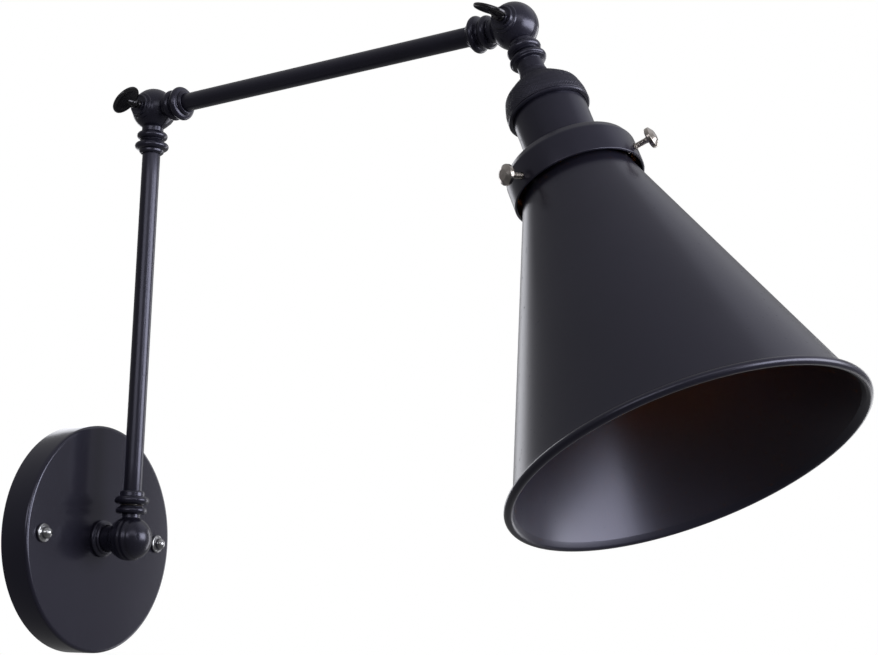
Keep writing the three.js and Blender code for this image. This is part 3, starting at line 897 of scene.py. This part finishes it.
def makeShade():
    size = shadeSize
    neck, start, cone, mouth = size["neck"], size["start"], size["coneStart"], size["mouth"]
    bead, rim, wall = size["bead"], size["mouthRadius"], size["wall"]
    slope = (rim - bead + 0.4 - neck) / (mouth - cone)
    under = mouth - bead * 0.72

    def coneAt(height):
        return neck + slope * (height - cone)

    beadArc = arcPoints(rim, mouth, bead, -128, 150, 20)
    points = softened([
        (neck - wall, start), (neck + 1.4, start, 0.3), (neck + 1.4, start + 1.4, 0.4),
        (neck, start + 2.2, 0.5),
        (neck, cone, 24), (coneAt(under), under, 0.4), *beadArc, (coneAt(under) - wall, under + 0.4, 0.3),
        (neck - wall, cone + 0.3, 24),
    ], 6)
    points = dense(points + [points[0]], 6)[:-1]
    shade = pieceFrom(shapeOf(points, size["around"]), "cone_shade", headFrame)
    dress(shade, paint, "satin_black", "head", "shade")
    shade.data.materials.append(innerPaint)
    inwards = headFrame.inverted()  # faces that look at the shade's axis take the duller paint
    for face in shade.data.polygons:
        middle = inwards @ face.center
        facing = inwards.to_3x3() @ face.normal
        if facing.x * middle.x + facing.y * middle.y < 0:
            face.material_index = 1


holderSize = dict(outer=16.6, low=47.5, high=84, bore=14.9, floor=57)


def makeLampholder():
    size = holderSize
    holder = turned("porcelain_holder", headFrame, [
        (0, size["low"]), (size["outer"], size["low"], 0.6), (size["outer"], size["high"], 0.7),
        (size["bore"], size["high"], 0.5),
        (size["bore"], size["floor"], 0.3), (0, size["floor"]),
    ], 96, arcSteps=4)
    dress(holder, porcelain, "porcelain", "head", "lampholder")
    threads = turned("brass_screw_shell", headFrame, [
        (13.8, 57.6), (14.4, 57.6), (14.4, 83), (13.8, 83),
    ], 64, arcSteps=0, spacing=0.6)
    dress(threads, brass, "brass", "head", "screw_shell")


bulbSize = dict(tip=59.2, capTop=85, crown=132.5, radius=30, wall=0.6, pitch=3.6, filaments=4)


def capThread(angle, travel, radius, height):
    # the cap's rolled thread, on its straight side only
    if radius <= 12.5 or not 66.5 < height < 80:
        return 0
    return 0.5 * (math.cos(2 * math.pi * (height / bulbSize["pitch"] - angle / (2 * math.pi))) - 1)


def makeBulb():
    size = bulbSize
    tip = size["tip"]
    cap = turned("bulb_screw_cap", headFrame, [
        (0, tip), (4, tip, 0.4), (4.8, tip + 2, 0.4), (11.4, tip + 3.6, 0.8), (12.9, tip + 6, 0.8),
        (12.9, size["capTop"], 0.4),
        (12.2, size["capTop"], 0.2), (12.2, 66), (0, 66),
    ], 72, spacing=0.45, relief=capThread, sharp=60)
    dress(cap, brass, "brass", "head", "bulb_base")
    wall, crown, radius = size["wall"], size["crown"], size["radius"]
    profile = [(11.4, 68), (11.8, 85.6, 6), (13.6, 93, 14), (23.4, 112.5, 30), (28.6, 125, 20)]
    dome = arcPoints(0, crown, radius, 2, 88, 24)
    inside = arcPoints(0, crown, radius - wall, 2, 88, 24)
    outer = softened([(11.0, 68), *profile, *dome], 8)[1:]
    inner = softened([(10.4, 68), *[(p[0] - wall, *p[1:]) for p in profile], *inside], 8)[1:]
    points = outer + [Vector((0, crown + radius))]
    shell = shapeOf([Vector((0, crown + radius - wall))] + list(reversed(inner)) + points, 96)
    glass = pieceFrom(shell, "bulb_envelope", headFrame, 60)
    dress(glass, bulbClear, "bulb_glass", "head", "bulb_glass")
    stem = turned("bulb_glass_stem", headFrame, [
        (0, 68), (7.5, 68, 0.5), (6.5, 74, 2), (3.0, 82, 3), (2.3, 98, 0.5), (1.0, 99.5, 0.5),
        (0.8, 128, 0.3), (0, 128.5),
    ], 32, arcSteps=4)
    dress(stem, bulbClear, "bulb_glass", "head", "bulb_stem")
    for number in range(size["filaments"]):
        angle = 2 * math.pi * number / size["filaments"] + 0.4
        outwards = Matrix.Rotation(angle, 4, "Z") @ Matrix.Translation((5.2 * mm, 0, 0))
        lean = outwards @ Matrix.Rotation(math.radians(4), 4, "Y")
        rod = turned("bulb_filament_%d" % (number + 1), headFrame @ lean, [
            (0, 100), (0.75, 100, 0.3), (0.75, 128, 0.3), (0, 128),
        ], 16, arcSteps=2)
        dress(rod, filamentHot, "filament", "head")


makeCanopy()
makeCapScrews()
makeCrossbar()
makeGroundScrew()
makeNipple()
makeBaseCollar()
makeBaseBall()
print("wall side made")

makeFerrule("lower_ferrule_at_base", swingFrame, ferruleSize["baseRingAt"], "lower_arm",
            "lower_arm_base_ferrule")
makeTube("lower_tube", swingFrame, "lower_arm", "lower_arm_tube")
makeFerrule("lower_ferrule_at_elbow", lowerEndFrame, ferruleSize["ringAt"], "lower_arm",
            "lower_arm_elbow_ferrule")
makeKnuckleHalf("elbow_half_with_wing", lowerEndFrame, -1, "lower_arm", "elbow_outer_half")
makeWingScrew("elbow_wing_plate", elbowPivotFrame, math.radians(wingAngles["elbow"]), "elbow_wing_screw",
              "elbow_wing", "elbow_stud")
print("lower arm made")

makeKnuckleHalf("elbow_half_with_nut", upperArmFrame, 1, "upper_arm", "elbow_inner_half")
makePivotNut("elbow_cap_nut", elbowNutFrame, "upper_arm", "elbow_nut")
makeFerrule("upper_ferrule_at_elbow", upperArmFrame, ferruleSize["ringAt"], "upper_arm",
            "upper_arm_elbow_ferrule")
makeTube("upper_tube", upperArmFrame, "upper_arm", "upper_arm_tube")
makeFerrule("upper_ferrule_at_head", upperEndFrame, ferruleSize["ringAt"], "upper_arm",
            "upper_arm_head_ferrule")
makeKnuckleHalf("head_half_with_wing", upperEndFrame, -1, "upper_arm", "head_outer_half")
makeWingScrew("head_wing_plate", headPivotFrame, math.radians(wingAngles["head"]), "head_wing_screw",
              "head_wing", "head_stud")
print("upper arm made")

makeKnuckleHalf("head_half_with_nut", headFrame, 1, "head", "head_inner_half")
makePivotNut("head_cap_nut", headNutFrame, "head", "head_nut")
makeHeadNeck()
makeSocketCap()
makeSocketShell()
makeGallery()
makeShade()
makeThumbscrews()
makeLampholder()
makeBulb()
print("head made")

keptFinishes = {
    "swivel_stud": zinc, "swivel_clip": zinc, "swivel_washer": fibre, "elbow_washer": fibre,
    "head_washer": fibre,
    "base_lead": sheathBlack, "lower_arm_lead": sheathBlack, "upper_arm_lead": sheathBlack,
    "head_lead": sheathBlack,
    "centre_contact": brass,
}
for node, material in keptFinishes.items():
    mesh = frame["nodes"][node].data
    mesh.materials.clear()
    mesh.materials.append(material)
print("inner pieces dressed")


stageLook = dict(floorDrop=1.75, halfSize=12.0, floorTone=(0.84, 0.84, 0.84), cloudLift=0.03, lift=0.4,
                 seen=1.0)
skyLook = dict(low=0.05, high=0.26, side=0.16)
softBoxes = {
    # name: heading from the lamp's front, height angle, distance, width, height, brightness, tone
    "frontBox": (8, 8, 1.7, 2.0, 0.85, 6.2, (0.94, 0.96, 1.0)),
    "leftBox": (-84, 13, 1.5, 1.0, 0.5, 1.9, (0.97, 0.98, 1.0)),
    "fillBox": (-40, 27, 1.7, 1.1, 0.6, 1.0, (1.0, 1.0, 1.0)),
    "farBox": (58, 46, 1.7, 1.5, 1.1, 0.31, (0.90, 0.92, 1.0)),
    "rimBox": (80, -4, 1.6, 0.45, 1.4, 2.4, (1.0, 1.0, 1.0)),
    "backBox": (142, 10, 1.6, 0.5, 1.1, 1.9, (0.95, 0.96, 1.0)),
}
lampMiddle = Vector((-0.04, -0.24, 0.12))


def makeStage():
    look = stageLook
    shape = bmesh.new()
    bmesh.ops.create_grid(shape, x_segments=1, y_segments=1, size=look["halfSize"])
    floor = pieceFrom(shape, "pale_floor", Matrix.Translation((0, 0, -look["floorDrop"])))
    pale = Finish("pale_floor", roughness=0.7, emissionColor=(1, 1, 1), emissionStrength=look["lift"])
    cloud = pale.noise(3, detail=2)
    tone = look["floorTone"]
    pale.set(baseColor=pale.mix(cloud, tone, tuple(v + look["cloudLift"] for v in tone)))
    floor.data.materials.append(pale.material)
    floor.visible_glossy = False  # the wall lamp hangs far above any real floor
    floor.visible_diffuse = False


def makeSky():
    # white behind the lamp, a softer grey dome for its light
    look = skyLook
    world = bpy.data.worlds.new("studio_sky")
    bpy.context.scene.world = world
    world.use_nodes = True
    sheet = NodeSheet(world.node_tree)
    sky = sheet.tree.nodes["Background"]
    place = sheet.node("TexCoord")
    height = sheet.node("SeparateXYZ", output=2, Vector=place)
    across = sheet.node("SeparateXYZ", output=0, Vector=place)
    tone = look["low"] + (height * 0.5 + 0.5) ** 2 * look["high"] + (across * 0.5 + 0.5) * look["side"]
    direct = sheet.node("LightPath")  # 1 where the camera looks straight at the sky
    feed(sheet.tree, sky.inputs["Strength"], tone * (1 - direct) + direct * stageLook["seen"])
    sky.inputs["Color"].default_value = (1, 1, 1, 1)


def makeSoftBoxes():
    for name, (heading, lift, distance, width, height, brightness, tone) in softBoxes.items():
        heading, lift = math.radians(heading), math.radians(lift)
        away = Vector((math.sin(heading) * math.cos(lift), -math.cos(heading) * math.cos(lift),
                       math.sin(lift)))
        lamp = bpy.data.lights.new(name, "AREA")
        lamp.shape = "RECTANGLE"
        lamp.size = width
        lamp.size_y = height
        lamp.energy = brightness * math.pi * width * height
        lamp.color = tone
        holder = bpy.data.objects.new(name, lamp)
        holder.location = lampMiddle + away * distance
        holder.rotation_euler = (-away).to_track_quat("-Z", "Y").to_euler()
        holder.visible_camera = False
        bpy.context.scene.collection.objects.link(holder)


cameraLook = dict(azimuth=-62.03, elevation=-9.98, roll=1.56, place=(-0.7832, -0.6374, -0.0511), lens=73.52,
                  sensor=36)


def makeCamera():
    look = cameraLook
    azimuth, elevation, roll = (math.radians(look[k]) for k in ("azimuth", "elevation", "roll"))
    back = Vector((math.sin(azimuth) * math.cos(elevation), -math.cos(azimuth) * math.cos(elevation),
                   math.sin(elevation)))
    right = Vector((math.cos(azimuth), math.sin(azimuth), 0))
    up = back.cross(right)
    across = right * math.cos(roll) + up * math.sin(roll)
    upright = up * math.cos(roll) - right * math.sin(roll)
    data = bpy.data.cameras.new("studio_camera")
    data.sensor_width = look["sensor"]
    data.lens = look["lens"]
    camera = bpy.data.objects.new("studio_camera", data)
    turnTo = Matrix((across, upright, back)).transposed().to_4x4()
    camera.matrix_world = Matrix.Translation(look["place"]) @ turnTo
    bpy.context.scene.collection.objects.link(camera)
    bpy.context.scene.camera = camera


makeStage()
makeSky()
makeSoftBoxes()
makeCamera()
bpy.context.scene.view_settings.view_transform = "Standard"
print("stage, light and camera set")
